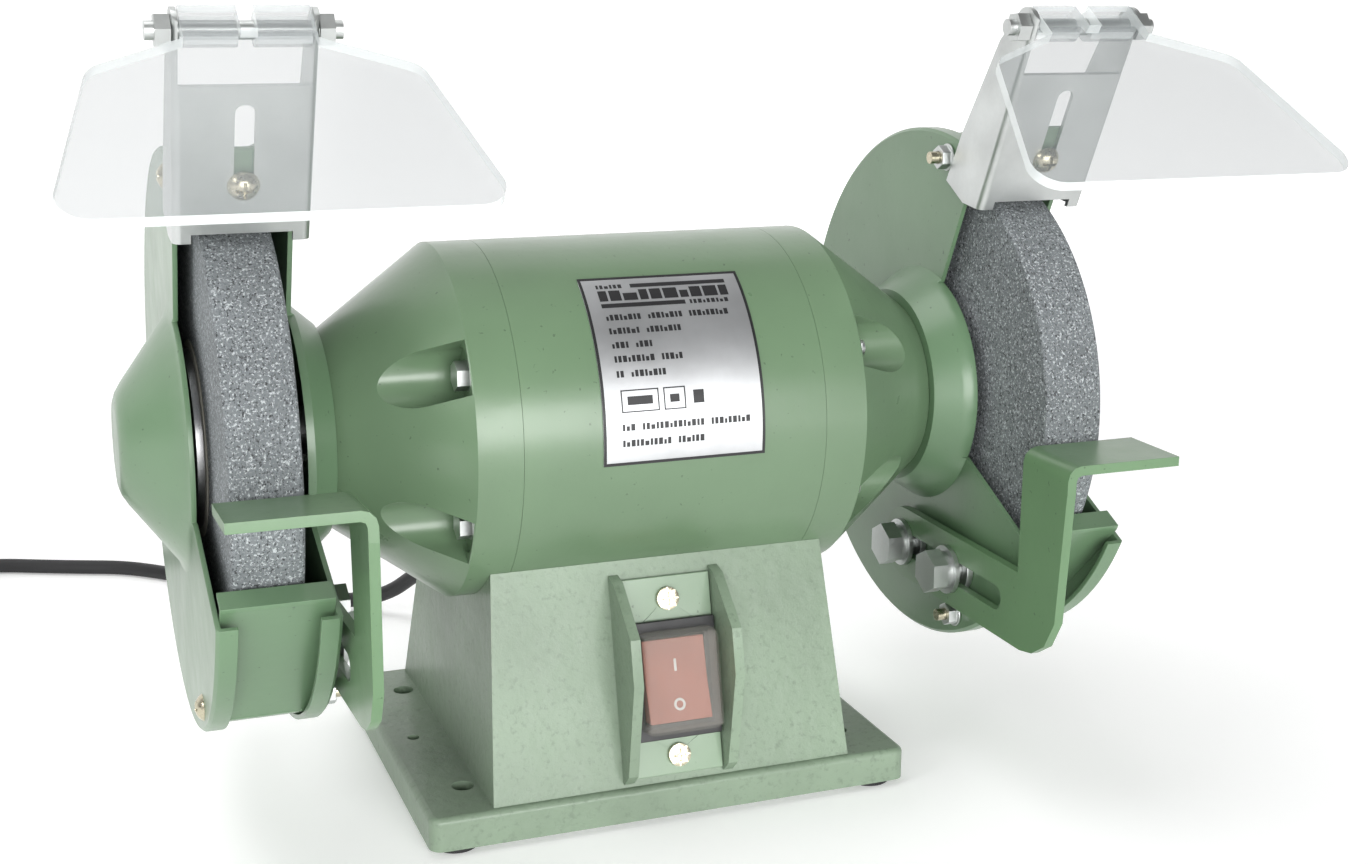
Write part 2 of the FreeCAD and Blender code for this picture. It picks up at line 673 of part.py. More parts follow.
# ---------------------------------------------------------------- rotor
def make_rotor():
    half = [("0", "10"), ("core_half + 8", "10"), ("core_half + 8", "9"), ("bearing_inner_side", "9"),
            ("bearing_inner_side", "bearing_bore"), ("108.1", "bearing_bore"), ("108.1",
                                                                                "arbor_radius - 0.05"),
            ("shaft_end - 1", "arbor_radius - 0.05"), ("shaft_end", "arbor_radius - 1")]
    other = [("0 - " + x.replace("- 1", "+ 1") if x == "shaft_end - 1" else "0 - " + x.replace("+ 8",
                                                                                               "- 8"), r)
             for x, r in reversed(half[1:])]
    node("motor_shaft", turned([("shaft_end", "0.01")] + list(reversed(half)) + list(reversed(other)) + [
        ("0 - shaft_end", "0.01")]))
    core = turned([("0 - core_half - 6", "10.02"), ("0 - core_half - 6", "22"), ("0 - core_half", "24"),
                   ("0 - core_half", "rotor_radius"), ("core_half", "rotor_radius"), ("core_half", "24"),
                   ("core_half + 6", "22"), ("core_half + 6", "10.02")])
    node("rotor_core", core)
    outer_face = "wheel_inner_face + wheel_width"
    for side in (LEFT, RIGHT):
        wheel = turned([("wheel_inner_face", "arbor_radius + 0.02"),
                        ("wheel_inner_face", "wheel_radius - 0.8"),
                        ("wheel_inner_face + 0.8", "wheel_radius"), (outer_face + " - 0.8", "wheel_radius"),
                        (outer_face, "wheel_radius - 0.8"), (outer_face, "arbor_radius + 0.02")])
        head_node(side, "wheel", wheel)
    blotters = [turned([(start, "arbor_radius + 0.3"), (start, "blotter_radius"),
                        (end, "blotter_radius"), (end, "arbor_radius + 0.3")])
                for start, end in (("wheel_inner_face - blotter_thickness", "wheel_inner_face"),
                                   (outer_face, outer_face + " + blotter_thickness"))]
    node("wheel_blotters", both_sides(*blotters))
    start = "wheel_inner_face - blotter_thickness"
    inner_flange = turned([(start, "arbor_radius"), (start, "17"), (start + " - 1", "18"),
                           (start + " - 1", "22"),
                           (start, "23"), (start, "flange_radius"), (start + " - 3", "flange_radius"),
                           (start + " - 5", "16"), (start + " - flange_inner_width", "15"),
                           (start + " - flange_inner_width", "arbor_radius")])
    node("inner_flanges", both_sides(inner_flange))
    start = outer_face + " + blotter_thickness"
    outer_flange = turned([(start, "arbor_radius"), (start, "17"), (start + " + 1", "18"),
                           (start + " + 1", "22"),
                           (start, "23"), (start, "flange_radius"), (start + " + 2.5", "flange_radius"),
                           (start + " + flange_outer_width", "15"), (start + " + flange_outer_width",
                                                                     "arbor_radius")])
    node("outer_flanges", both_sides(outer_flange))
    nut = cut(hexagon(21.9, "nut_height", at=(start + " + flange_outer_width", 0, "shaft_height")),
              rod("arbor_radius", "20", at=(start, 0, "shaft_height")))
    node("wheel_nuts", both_sides(nut))


# ---------------------------------------------------------------- wheel guards
def hub_screw_places():
    """Y and Z of the three screws that hold a guard to its end bell."""
    spots = []
    for angle in (90, 210, 330):
        y = 23.5 * math.cos(math.radians(angle))
        z = 23.5 * math.sin(math.radians(angle))
        spots.append(("0 %s %.4f" % ("+" if y > 0 else "-", abs(y)),
                      "shaft_height %s %.4f" % ("+" if z > 0 else "-", abs(z))))
    return spots


def guard_screw_places():
    """Y and Z of the three long screws that close a guard. Angles go up from straight ahead."""
    spots = []
    for angle in (79, 183, 294):
        y = -size("guard_screw_circle") * math.cos(math.radians(angle))
        z = size("guard_screw_circle") * math.sin(math.radians(angle))
        spots.append(("0 %s %.4f" % ("+" if y > 0 else "-", abs(y)),
                      "shaft_height %s %.4f" % ("+" if z > 0 else "-", abs(z))))
    return spots


def opening(keep_hub):
    """The front quarter that a guard leaves open, in the leaning frame."""
    quarter = turn_in_guard_frame(slab([("opening_top_edge", "0 - opening_low_edge"),
                                        ("opening_top_edge", "130"),
                                        ("0 - 130", "130"), ("0 - 130", "0 - opening_low_edge")], "0", "90"))
    quarter.setExpression(".Placement.Base.x", "90")
    if keep_hub:
        return cut(quarter, rod("hub_ring_radius", "100", at=("85", 0, "shaft_height")))
    return quarter


def make_guards():
    for side in (LEFT, RIGHT):
        inner, middle, outer = faces(side)
        far = inner + " + sheet"
        dish = turned([("bell_end + 0.05", "13"), ("bell_end + 0.05", "dish_radius"),
                       (inner, "hub_ring_radius + 1"),
                       (inner, "guard_radius - 1"), (inner + " + 1", "guard_radius"),
                       (inner + " + rim_width", "guard_radius"), (inner + " + rim_width",
                                                                  "guard_radius - sheet"),
                       (far, "guard_radius - sheet"), (far, "hub_ring_radius + 0.2"),
                       ("bell_end + 0.05 + sheet", "dish_radius - 0.6"), ("bell_end + 0.05 + sheet", "13")])
        holes = [rod("guard_screw_radius + 0.15", "20", at=(inner + " - 5", y, z)) for y,
                 z in guard_screw_places()]
        holes += [rod("4", "10", at=("bell_end - 2", y, z)) for y, z in hub_screw_places()]
        holes += [rod("4.1", "10", at=(inner + " - 4", y, "arm_height"))
                  for y in ("0 - rest_bolt_back", "0 - rest_bolt_front")]
        head_node(side, "inner_guard", turned_guard(side, cut(dish, opening(True), *holes)))

        top = outer + " + bulge_rise"
        cap = turned([(top, "0.01"), (top, "bulge_top_radius - 4"),
                      (top + " - 0.8", "bulge_top_radius - 1.5"),
                      (top + " - 2.6", "bulge_top_radius + 1.5"), (outer + " + 1.2", "hub_ring_radius - 2.4"),
                      (outer, "hub_ring_radius + 1"),
                      (outer, "guard_radius - 1"), (outer + " - 1", "guard_radius"),
                      (outer + " - rim_width", "guard_radius"), (outer + " - rim_width",
                                                                 "guard_radius - sheet"),
                      (outer + " - sheet", "guard_radius - sheet"), (outer + " - sheet",
                                                                     "hub_ring_radius + 0.4"),
                      (top + " - 3.2 - sheet", "bulge_top_radius + 0.4"), (top + " - sheet",
                                                                           "bulge_top_radius - 4.5"),
                      (top + " - sheet", "0.01")])
        holes = [rod("guard_screw_radius + 0.15", "20", at=(outer + " - 10", y, z)) for y,
                 z in guard_screw_places()]
        head_node(side, "outer_cover", turned_guard(side, cut(cap, opening(True), *holes)))
        make_band(side)


def make_band(side):
    """Edge band of a guard: round at the back, flat below the opening, with a lip and a bracket tab."""
    inner, middle, outer = faces(side)
    start = inner + " + sheet + 0.05"
    end = outer + " - sheet - 0.05"
    width = "guard_half_width + guard_half_width - sheet - sheet - 0.1"
    ring = turned([(start, "band_radius - band_sheet"), (start, "band_radius"), (end, "band_radius"),
                   (end, "band_radius - band_sheet")])
    tab_back, tab_front = "0 - web_front + sheet + sheet + 0.3", "0 - web_front + sheet + 0.3"
    above = in_leaning_plane(slab([(tab_front, "0"), (tab_front, "130"), ("0 - 130", "130"),
                                   ("0 - 130", "0")],
                                  "0", "70"), inner)
    slope = size("chord_end_below") / size("chord_end_ahead")
    below = in_leaning_plane(slab([("0", "0"), ("0", "20"), ("0 - 130", "20"),
                                   ("0 - 130", "0 - %.3f" % (130 * slope))],
                                  "0", "70"), inner)
    chord = in_leaning_plane(slab([
        ("0 - lip_front", "lip_rise"), ("0 - lip_front + lip_depth", "lip_rise"),
        ("0 - lip_front + lip_depth", "lip_rise - band_sheet"), ("0 - lip_front + 1.4",
                                                                 "lip_rise - band_sheet"),
        ("0 - chord_end_ahead + 0.9", "0 - chord_end_below - 0.4"),
        ("0 - chord_end_ahead", "0 - chord_end_below - 1"), ("0 - lip_front", "lip_rise - band_sheet - 0.6")],
        "0", width), start)
    tab = in_leaning_plane(slab([(tab_front, "band_radius - 4"), (tab_front, "tab_top"),
                                 (tab_back, "tab_top"),
                                 (tab_back, "band_radius - 4")], "0", width), start)
    screw_hole = in_guard_frame(rod("2.6", "30", at=(middle, "0 - 20", "bracket_screw_at"), along="Y"))
    ring_part = cut(ring, above, turned_guard(side, below))
    head_node(side, "guard_band", cut(fuse(ring_part, turned_guard(side, chord), tab), screw_hole))


def in_leaning_plane(thing, start):
    """Move a slab into the leaning frame of the guards, starting at an X."""
    turn_in_guard_frame(thing)
    thing.setExpression(".Placement.Base.x", formula(start))
    return thing


def in_guard_frame(thing):
    """Move a finished piece, drawn upright about the origin, into the leaning frame of the guards."""
    upright = thing.Placement
    thing.setExpression(".Placement.Base.x", None)
    thing.setExpression(".Placement.Base.y", None)
    thing.setExpression(".Placement.Base.z", None)
    leaning = FreeCAD.Placement(V(0, 0, size("shaft_height")), FreeCAD.Rotation(X_AXIS, size("guard_tilt")))
    thing.Placement = leaning.multiply(upright)
    return thing


def guard_screw(side):
    inner, middle, outer = faces(side)
    made = []
    for y, z in guard_screw_places():
        head = doc.addObject("Part::Sphere", fresh("dome"))
        bind(head, Radius="4.6")
        place(head, x=outer + " - 2.2", y=y, z=z)
        trim = box("20", "20", "20", at=(outer + " + 0.02", y + " - 10", z + " - 10"))
        slots = [box("2", "4.4", "0.8", at=(outer + " + 1.4", y + " - 2.2", z + " - 0.4")),
                 box("2", "0.8", "4.4", at=(outer + " + 1.4", y + " - 0.4", z + " - 2.2"))]
        shank = rod("guard_screw_radius", "guard_half_width + guard_half_width + 7.5",
                    at=(inner + " - 7.3", y, z))
        made.append(cut(fuse(common(head, trim), shank), *slots))
    return turned_guard(side, group(*made))


def guard_nut(side):
    inner, middle, outer = faces(side)
    made = []
    for y, z in guard_screw_places():
        made.append(cut(fuse(hexagon(8.1, "3.2", at=(inner + " - 4.2", y, z)),
                             rod("4.5", "0.9", at=(inner + " - 1", y, z))),
                        rod("guard_screw_radius + 0.02", "10", at=(inner + " - 8", y, z))))
    return turned_guard(side, group(*made))


def rest_bolt(side):
    plate = faces(side)[0] + " - rest_stand_off"
    made = []
    for y in ("0 - rest_bolt_back", "0 - rest_bolt_front"):
        made.append(fuse(rod("4", "13.8", at=(plate + " - 5.9", y, "arm_height")),
                         hexagon(15, "5.3", at=(plate + " - 8.9", y, "arm_height")),
                         rod("6.4", "2", at=(plate + " - 3.7", y, "arm_height")),
                         rod("8.2", "1.6", at=(plate + " - 1.7", y, "arm_height"))))
    return turned_guard(side, group(*made))


def rest_spacer(side):
    plate = faces(side)[0] + " - rest_stand_off"
    made = []
    for y in ("0 - rest_bolt_back", "0 - rest_bolt_front"):
        ring = rod("7.5", "rest_stand_off - rest_thickness - 0.2",
                   at=(plate + " + rest_thickness + 0.1", y, "arm_height"))
        made.append(cut(ring, rod("4.02", "10", at=(plate, y, "arm_height"))))
    return turned_guard(side, group(*made))


def make_guard_fasteners():
    hub_screws = [fuse(rod("2", "10", at=("bell_end - 8", y, z)),
                       hexagon(9.8, "3", at=("bell_end + sheet + 0.1", y, z))) for y, z in hub_screw_places()]
    node("guard_screws", one_per_head(guard_screw))
    node("guard_nuts", one_per_head(guard_nut))
    node("guard_mount_screws", both_sides(*hub_screws))
    node("rest_bolts", one_per_head(rest_bolt))
    node("rest_spacers", one_per_head(rest_spacer))


# ---------------------------------------------------------------- tool rests
def make_rests():
    low, high, top = "arm_height - arm_half_height", "arm_height + arm_half_height", "rest_top"
    for side in (LEFT, RIGHT):
        plate = faces(side)[0] + " - rest_stand_off"
        back = plate + " + rest_thickness"
        reach = plate + " + rest_table_width"
        side_plate = slab([("0 - rest_bolt_back", low), ("0 - rest_bolt_back", high), ("0 - rest_back", high),
                           ("0 - rest_back", top + " - 8"), ("0 - rest_front", top + " - 8"),
                           ("0 - rest_front + 3", low + " + 15"), ("0 - rest_front + 8", low + " + 6"),
                           ("0 - rest_front + 15", low + " + 1.4"), ("0 - rest_front + 22", low)],
                          plate, "rest_thickness")
        arm_end = rod("arm_half_height", "rest_thickness", at=(plate, "0 - rest_bolt_back", "arm_height"))
        fold = profile_along_y([(plate, top + " - 9"), (plate, top + " - 4.6"),
                                (plate + " + 0.6", top + " - 2.3"),
                                (plate + " + 2.3", top + " - 0.6"), (plate + " + 4.6", top), (reach, top),
                                (reach, top + " - rest_thickness"), (plate + " + 4.9",
                                                                     top + " - rest_thickness"),
                                (plate + " + 3.5", top + " - 3.5"), (back, top + " - 4.9"),
                                (back, top + " - 9")], "0 - rest_front", "rest_front - rest_back")
        slot_ends = [rod("rest_slot_half", "10", at=(plate + " - 4", y, "arm_height"))
                     for y in ("0 - rest_bolt_back", "0 - rest_slot_front")]
        slot = box("10", "rest_slot_front - rest_bolt_back", "rest_slot_half + rest_slot_half",
                   at=(plate + " - 4", "0 - rest_slot_front", "arm_height - rest_slot_half"))
        rest = cut(fuse(side_plate, arm_end, fold), slot, *slot_ends)
        head_node(side, "tool_rest", turned_guard(side, rest))


# ---------------------------------------------------------------- eye shields
def make_shields():
    for side in (LEFT, RIGHT):
        inner, middle, outer = faces(side)
        near = inner + " - bracket_stand_off"
        width = "guard_half_width + guard_half_width + bracket_stand_off + bracket_stand_off"
        channel = box(width, "web_front + 15.5", "75", at=(near, "0 - web_front", "71"))
        channel = round_edges(channel, 2.4, lambda edge: vertical(edge) and edge.Vertexes[0].Point.y < 0)
        inside = box(width + " - sheet - sheet", "40", "80",
                     at=(near + " + sheet", "0 - web_front + sheet", "70"))
        inside = round_edges(inside, 0.9, lambda edge: vertical(edge) and edge.Vertexes[0].Point.y < 0)
        silhouette = slab([("0 - web_front", "web_bottom"), ("1.8", "72"), ("14.6", "72.8"), ("13.2", "91.4"),
                           ("7.1", "127.8"), ("1.2", "hinge_along + 2"), ("0 - hinge_ahead - ear_radius",
                                                                          "hinge_along"),
                           ("0 - web_front", "web_top")], "100", "60")
        ear = rod("ear_radius", "60", at=("100", "0 - hinge_ahead", "hinge_along"))
        above_web = box(width + " - sheet - sheet", "30", "40",
                        at=(near + " + sheet", "0 - 24", "web_top"))
        notch = box(width + " - 10", "20", "20", at=(near + " + 5", "0 - 20", "web_notch - 20"))
        slot = box("slot_half_width + slot_half_width", "12", "slot_top - bracket_screw_at + 0.1",
                   at=(middle + " - slot_half_width", "0 - 16", "bracket_screw_at - 0.1"))
        slot_ends = [rod("slot_half_width", "12", at=(middle, "0 - 16", z), along="Y")
                     for z in ("bracket_screw_at - 0.1", "slot_top")]
        pin_hole = rod("hinge_pin_radius + 0.02", "60", at=("100", "0 - hinge_ahead", "hinge_along"))
        bracket = cut(common(cut(channel, inside), fuse(silhouette, ear)), above_web, notch, slot, *slot_ends,
                      pin_hole)
        head_node(side, "shield_bracket", turn_in_guard_frame(bracket))

        pin = fuse(rod("hinge_pin_radius", width + " + 13", at=(near + " - 6.5", "0 - hinge_ahead",
                                                                "hinge_along")),
                   hexagon(9.2, "4", at=(near + " - 4.1", "0 - hinge_ahead", "hinge_along")),
                   hexagon(9.2, "4", at=(near + " + 0.1 + " + width, "0 - hinge_ahead", "hinge_along")))
        head_node(side, "hinge_bolt", turn_in_guard_frame(pin))
        head_node(side, "shield", make_shield(amount(middle)))


def make_shield(middle):
    """Clear sheet drawn hanging from its hinge axis, with a knuckle at each end, then swung out."""
    half = "shield_neck_half"
    body = doc.addObject("PartDesign::Body", fresh("sheet"))
    sketch = outline(body, "XZ_Plane", [
        ("0 - " + half, "3"), ("0 - " + half, "0 - shield_neck"), ("0 - shield_shoulder_half",
                                                                   "0 - shield_shoulder"),
        ("0 - shield_bottom_half", "0 - shield_length"), ("shield_bottom_half", "0 - shield_length"),
        ("shield_shoulder_half", "0 - shield_shoulder"), (half, "0 - shield_neck"), (half, "3")])
    pad = body.newObject("PartDesign::Pad", fresh("pad"))
    pad.Profile = sketch
    bind(pad, Length="shield_thickness")
    body.Tip = pad
    doc.recompute()

    def across_sheet(edge):
        first, last = edge.Vertexes[0].Point, edge.Vertexes[-1].Point
        stays = abs(first.x - last.x) < 0.01 and abs(first.z - last.z) < 0.01
        return stays and first.z < 5 - size("shield_shoulder")
    names = ["Edge%d" % number for number, edge in enumerate(pad.Shape.Edges, start=1) if across_sheet(edge)]
    corners = body.newObject("PartDesign::Fillet", fresh("corners"))
    corners.Base = (pad, names)
    corners.Radius = 8
    body.Tip = corners
    place(body, y="0 - shield_offset")
    knuckles = [rod("knuckle_radius", "knuckle_length", at=("0 - " + half, 0, 0)),
                rod("knuckle_radius", "knuckle_length", at=(half + " - knuckle_length", 0, 0))]
    gap = box("shield_neck_half + shield_neck_half - knuckle_length - knuckle_length", "20", "16",
              at=("0 - shield_neck_half + knuckle_length", "0 - 10", "0 - 7"))
    bore = rod("hinge_pin_radius + 0.06", "60", at=("0 - 30", 0, 0))
    shield = cut(fuse(body, *knuckles), gap, bore)
    tilt = math.radians(size("guard_tilt"))
    up, ahead = size("hinge_along"), size("hinge_ahead")
    hinge = V(middle, -up * math.sin(tilt) - ahead * math.cos(tilt),
              size("shaft_height") + up * math.cos(tilt) - ahead * math.sin(tilt))
    shield.Placement = FreeCAD.Placement(hinge, FreeCAD.Rotation(X_AXIS, -size("shield_angle")))
    return shield


def bracket_screw(side):
    middle = faces(side)[1]
    head = doc.addObject("Part::Sphere", fresh("dome"))
    bind(head, Radius="4.6")
    place(head, x=middle, y="0 - web_front + 1", z="bracket_screw_at")
    trim = box("20", "20", "20", at=(middle + " - 10", "0 - web_front - 20.05", "bracket_screw_at - 10"))
    slots = [box("5", "3", "0.9", at=(middle + " - 2.5", "0 - web_front - 4", "bracket_screw_at - 0.45")),
             box("0.9", "3", "5", at=(middle + " - 0.45", "0 - web_front - 4", "bracket_screw_at - 2.5"))]
    shank = rod("2.5", "12", at=(middle, "0 - web_front - 1", "bracket_screw_at"), along="Y")
    nut = hexagon(9.2, "4", at=(middle, "0 - web_front + sheet + sheet + 0.4", "bracket_screw_at"), along="Y")
    return turn_in_guard_frame(cut(fuse(common(head, trim), shank, nut), *slots))


# ---------------------------------------------------------------- cord
# The cord leaves the gland, drops to the ground and runs to the coil. Points in millimetres, chosen by hand.
GROUND = -2.0
ROUTE_TO_COIL = [
    (-25.0, 85.37, 27.83), (-25.0, 102.58, 33.1), (-26.0, 118.0, 33.2), (-30.0, 132.0, 28.6), (-37.0, 145.5,
                                                                                               18.2),
    (-45.0, 156.0, 8.2), (-57.0, 166.0, 3.1), (-70.0, 176.0, 1.0), (-85.0, 188.0, 1.0), (-98.5, 202.0, 1.0),
    (-112.0, 219.0, 1.0), (-128.0, 236.0, 1.0), (-143.0, 248.5, 1.0), (-160.0, 255.0, 1.0), (-176.0, 261.5,
                                                                                             1.0),
    (-191.5, 268.5, 1.0), (-208.0, 272.5, 1.0), (-226.0, 273.5, 1.0), (-245.9, 271.1, 1.0),
]
COIL_CENTRE = (-252.0, 232.5)
COIL_RADIUS = 33.0
COIL_HALF_WIDTH = 9.0
COIL_HEIGHT = 18.2
ROUTE_TO_PLUG = [
    (-288.0, 232.5, 13.2), (-289.5, 217.0, 12.0), (-287.5, 201.0, 12.5), (-281.0, 186.0, 15.0),
    (-271.0, 175.0, 16.5),
]


def bent_path(points):
    """Straight runs joined by tangent arcs as large as the shorter run allows."""
    spots = [V(*point) for point in points]
    edges, radii, start = [], [], spots[0]
    for before, corner, after in zip(spots, spots[1:], spots[2:]):
        arriving, leaving = corner - before, after - corner
        shorter = min(arriving.Length, leaving.Length)
        half_turn = arriving.getAngle(leaving) / 2
        reach = 0.45 * shorter
        radii.append(reach / math.tan(half_turn))
        first = corner - arriving.normalize() * reach
        last = corner + leaving.normalize() * reach
        toward = (first + last) * 0.5 - corner
        centre = corner + toward.normalize() * (radii[-1] / math.cos(half_turn))
        middle = centre + (corner - centre).normalize() * radii[-1]
        edges.append(Part.LineSegment(start, first).toShape())
        edges.append(Part.Arc(first, middle, last).toShape())
        start = last
    edges.append(Part.LineSegment(start, spots[-1]).toShape())
    return Part.Wire(edges), radii


def tube(points):
    path, radii = bent_path(points)
    print("cord radii", " ".join("%.0f" % radius for radius in radii), "length %.0f" % path.Length)
    radius = size("cord_radius")
    direction = V(*points[1]) - V(*points[0])
    ring = Part.Wire(Part.makeCircle(radius, V(*points[0]), direction))
    solid = path.makePipeShell([ring], True, False)
    ratio = solid.Volume / (math.pi * radius ** 2 * path.Length)
    if abs(ratio - 1) > 0.02:
        raise ValueError("cord volume is off by a factor of %.3f" % ratio)
    return solid


def feature(shape):
    made = doc.addObject("Part::Feature", fresh("feature"))
    made.Shape = shape
    return made


def make_cord():
    sleeve = turned([("0 - 6", "3.05"), ("0 - 6", "5.8"), ("0.05", "5.8"), ("0.05", "9"), ("3", "9"),
                     ("4", "7"),
                     ("28", "4.4"), ("28", "3.05")])
    node("cord_gland", stand_on_rear(sleeve, 0.0, X_AXIS))
    node("power_cord", group(feature(tube(ROUTE_TO_COIL)), feature(tube(ROUTE_TO_PLUG))))
    x, y = COIL_CENTRE
    ring = doc.addObject("Part::Cylinder", fresh("coil"))
    bind(ring, Radius="%.1f" % (COIL_RADIUS + COIL_HALF_WIDTH), Height="%.1f" % COIL_HEIGHT)
    hole = doc.addObject("Part::Cylinder", fresh("coil"))
    bind(hole, Radius="%.1f" % (COIL_RADIUS - COIL_HALF_WIDTH), Height="%.1f" % (COIL_HEIGHT + 2))
    ring.Placement.Base = V(x, y, GROUND)
    hole.Placement.Base = V(x, y, GROUND - 1)
    coil = round_edges(cut(ring, hole), 5.0, lambda edge: edge.Length > 60)
    node("cord_coil", coil)
    make_plug()


def make_plug():
    """Moulded plug with two round pins, drawn along +X from where the cord enters it."""
    before, end = V(*ROUTE_TO_PLUG[-2]), V(*ROUTE_TO_PLUG[-1])
    lie = FreeCAD.Placement(end, FreeCAD.Rotation(X_AXIS, V(end.x - before.x, end.y - before.y, 0)))
    body = turned([("0", "0.01"), ("0", "4.6"), ("20", "6.5"), ("22", "11"), ("27", "14"), ("44", "15.5"),
                   ("46", "18.4"), ("51", "18.4"), ("52", "17.4"), ("52", "0.01")])
    release(body).Placement = FreeCAD.Placement()
    sockets = [rod("2.4", "12", at=("45", y, 0)) for y in ("9.5", "0 - 9.5")]
    grips = [box("2", "3", "40", at=("%d" % (28 + 4 * step), y, "0 - 20"))
             for step in range(4) for y in ("14", "0 - 17")]
    housing = cut(body, *sockets, *grips)
    housing.Placement = lie
    node("plug_body", housing)
    pins = [rod("2.35", "30", at=("45.1", y, 0)) for y in ("9.5", "0 - 9.5")]
    pair = group(*pins)
    pair.Placement = lie
    node("plug_pins", pair)


make_base()
make_switch()
make_motor()
make_bearings()
make_rotor()
make_guards()
make_guard_fasteners()
make_rests()
make_shields()
node("bracket_screws", one_per_head(bracket_screw))
make_cord()
doc.recompute()

bad = [thing.Label for thing in doc.Objects if "Invalid" in thing.State or "Error" in thing.State]
bad += [name for name, piece in NODES.items() if piece.Shape.isNull() or not piece.Shape.isValid()]
if bad:
    raise ValueError("these did not build: " + ", ".join(bad))
os.makedirs("parts", exist_ok=True)
for name, piece in NODES.items():
    piece.Shape.exportStep("parts/" + name + ".step")
print(len(NODES), "nodes")
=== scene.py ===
"""Looks of the bench grinder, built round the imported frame. Metres, in the frame's own axes."""

import json
import math

import bpy
from mathutils import Matrix, Vector


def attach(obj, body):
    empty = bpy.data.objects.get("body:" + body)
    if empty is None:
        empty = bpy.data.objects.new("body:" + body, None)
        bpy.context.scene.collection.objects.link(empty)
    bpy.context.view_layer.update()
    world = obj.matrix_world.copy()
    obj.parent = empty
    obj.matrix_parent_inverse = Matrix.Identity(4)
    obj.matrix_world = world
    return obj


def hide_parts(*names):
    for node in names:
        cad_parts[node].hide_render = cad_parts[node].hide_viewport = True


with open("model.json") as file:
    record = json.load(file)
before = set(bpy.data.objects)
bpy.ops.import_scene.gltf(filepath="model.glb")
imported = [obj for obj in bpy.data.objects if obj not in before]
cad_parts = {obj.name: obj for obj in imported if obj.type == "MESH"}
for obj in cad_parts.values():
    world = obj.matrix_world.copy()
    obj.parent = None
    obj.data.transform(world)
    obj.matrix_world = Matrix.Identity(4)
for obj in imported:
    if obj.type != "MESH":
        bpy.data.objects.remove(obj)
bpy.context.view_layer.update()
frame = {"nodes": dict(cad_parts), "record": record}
nodes = frame["nodes"]
MM = 0.001
SHAFT_HEIGHT = 0.1191


# ---------------------------------------------------------------- camera
CAMERA_SPOT = (-0.19381, -0.55574, 0.25823)
CAMERA_YAW, CAMERA_PITCH, CAMERA_ROLL = 20.77, 13.16, 0.46
LENS_LENGTH, SENSOR_WIDTH = 48.43, 36
LENS_SHIFT = (0.0124, -0.0230)


def make_camera():
    """The photograph's viewpoint: yaw to the right of +Y, pitch down, and a slight roll."""
    yaw, pitch, roll = (math.radians(angle) for angle in (CAMERA_YAW, CAMERA_PITCH, CAMERA_ROLL))
    ahead = Vector((math.sin(yaw) * math.cos(pitch), math.cos(yaw) * math.cos(pitch), -math.sin(pitch)))
    level = Vector((math.cos(yaw), -math.sin(yaw), 0))
    upright = level.cross(ahead)
    right = level * math.cos(roll) + upright * math.sin(roll)
    up = upright * math.cos(roll) - level * math.sin(roll)
    lens = bpy.data.cameras.new("camera")
    lens.lens = LENS_LENGTH
    lens.sensor_width = SENSOR_WIDTH
    lens.shift_x, lens.shift_y = LENS_SHIFT
    lens.clip_start = 0.01
    camera = bpy.data.objects.new("camera", lens)
    turn = Matrix((right, up, -ahead)).transposed().to_4x4()
    camera.matrix_world = Matrix.Translation(CAMERA_SPOT) @ turn
    bpy.context.scene.collection.objects.link(camera)
    bpy.context.scene.camera = camera


# ---------------------------------------------------------------- cord
CORD_RADIUS = 0.003
# Millimetres: up out of the gland, down to the ground, then along it to the coil.
ROUTE_TO_COIL = [
    (-25.0, 85.37, 27.83), (-25.0, 102.58, 33.1), (-26.0, 118.0, 33.2), (-30.0, 132.0, 28.6),
    (-37.0, 145.5, 18.2), (-45.0, 156.0, 8.2), (-57.0, 166.0, 3.1), (-70.0, 176.0, 1.0),
    (-85.0, 188.0, 1.0), (-98.5, 202.0, 1.0), (-112.0, 219.0, 1.0), (-128.0, 236.0, 1.0),
    (-143.0, 248.5, 1.0), (-160.0, 255.0, 1.0), (-176.0, 261.5, 1.0), (-191.5, 268.5, 1.0),
    (-208.0, 272.5, 1.0), (-226.0, 273.5, 1.0),
]
ROUTE_TO_PLUG = [
    (-289.5, 217.0, 12.0), (-287.5, 201.0, 12.5), (-281.0, 186.0, 15.0), (-271.0, 175.0, 16.5),
]
COIL_CENTRE = (-252.0, 232.5)
COIL_OUTER, COIL_INNER, COIL_TOP_RADIUS = 39.1, 26.9, 36.0
COIL_PITCH = 6.1
COIL_START = math.radians(81)
TURN_STEPS = 20


def coil_points():
    """Inwards on the ground, up, outwards on that layer, up again, and half a turn on top."""
    ground, middle, top = 1.0, 1.0 + COIL_PITCH, 1.0 + 2 * COIL_PITCH
    stages = [(2.0, COIL_OUTER, COIL_INNER, ground, ground), (0.4, COIL_INNER, COIL_INNER, ground, middle),
              (2.0, COIL_INNER, COIL_OUTER, middle, middle), (0.4, COIL_OUTER, COIL_TOP_RADIUS, middle, top),
              (0.475, COIL_TOP_RADIUS, COIL_TOP_RADIUS, top, top)]
    points, turned = [], 0.0
    for turns, radius_from, radius_to, level_from, level_to in stages:
        steps = max(2, round(turns * TURN_STEPS))
        for step in range(steps):
            share = step / steps
            angle = COIL_START + 2 * math.pi * (turned + turns * share)
            radius = radius_from + (radius_to - radius_from) * share
            level = level_from + (level_to - level_from) * share
            points.append((COIL_CENTRE[0] + radius * math.cos(angle),
                           COIL_CENTRE[1] + radius * math.sin(angle), level))
        turned += turns
    return points


